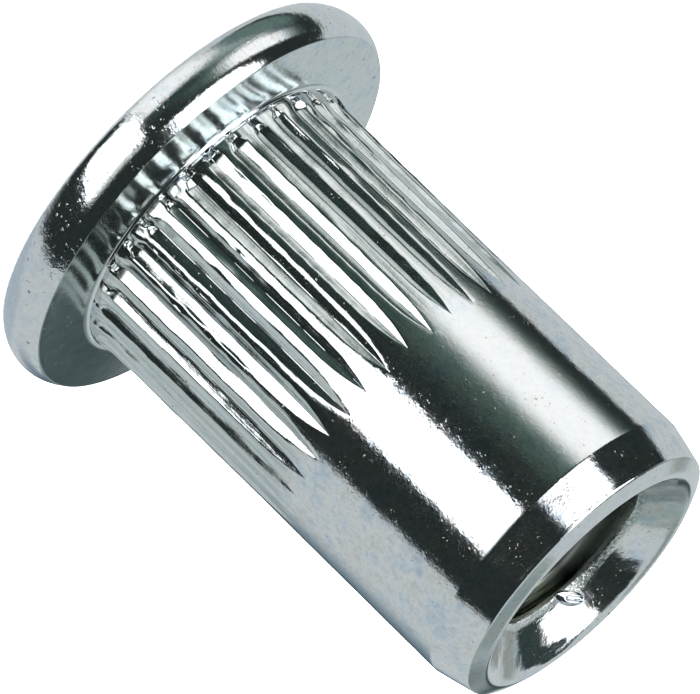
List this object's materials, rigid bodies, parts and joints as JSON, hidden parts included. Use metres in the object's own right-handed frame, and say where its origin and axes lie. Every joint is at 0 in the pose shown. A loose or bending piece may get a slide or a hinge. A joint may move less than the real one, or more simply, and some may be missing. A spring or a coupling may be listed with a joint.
{
  "type": "splined rivet nut",
  "caption": "Blind threaded insert with a round-rimmed flat flange, a splined upper shank, a smooth lower shank with a tapered end, and a countersunk threaded bore.",
  "frame": {"origin": "centre of the flat outer head face, on the axis", "axes": "+Z along the axis from the head to the tip, so the nut stands on its head; X and Y are free, since the nut is round"},
  "size_m": [0.013, 0.013, 0.0162],
  "materials": {
    "zinc_plate": "bright clear zinc plate on cold-formed steel: near-mirror with fine speckle, faint blue-grey tint"
  },
  "bodies": {
    "root": {"rivet_nut_body": "zinc_plate"}
  },
  "joints": []
}
